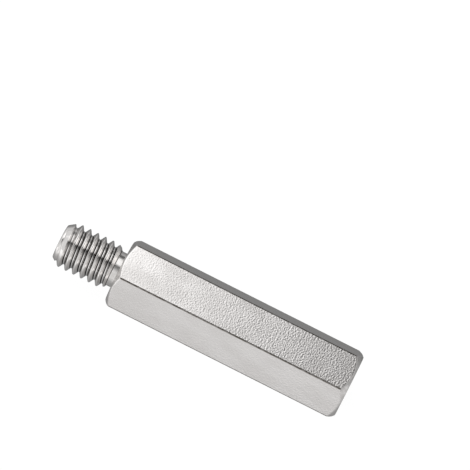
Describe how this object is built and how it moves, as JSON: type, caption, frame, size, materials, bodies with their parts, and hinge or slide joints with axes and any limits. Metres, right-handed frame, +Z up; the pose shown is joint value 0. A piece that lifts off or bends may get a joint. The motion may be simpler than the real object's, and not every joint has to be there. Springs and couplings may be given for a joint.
{
  "type": "hex standoff",
  "caption": "Male-female hex standoff: a long hexagonal bar with a threaded stud on one end and a blind tapped hole in the other.",
  "frame": {"origin": "on the surface it lies on, under the middle of its overall length", "axes": "+X along the thread axis, from the stud's end to the tapped hole's mouth; -X is the way the stud points; +Z up, square to the flat it lies on"},
  "size_m": [0.0378, 0.0092, 0.008],
  "materials": {
    "nickel": "satin"
  },
  "bodies": {
    "root": {"standoff": "nickel"}
  },
  "joints": []
}
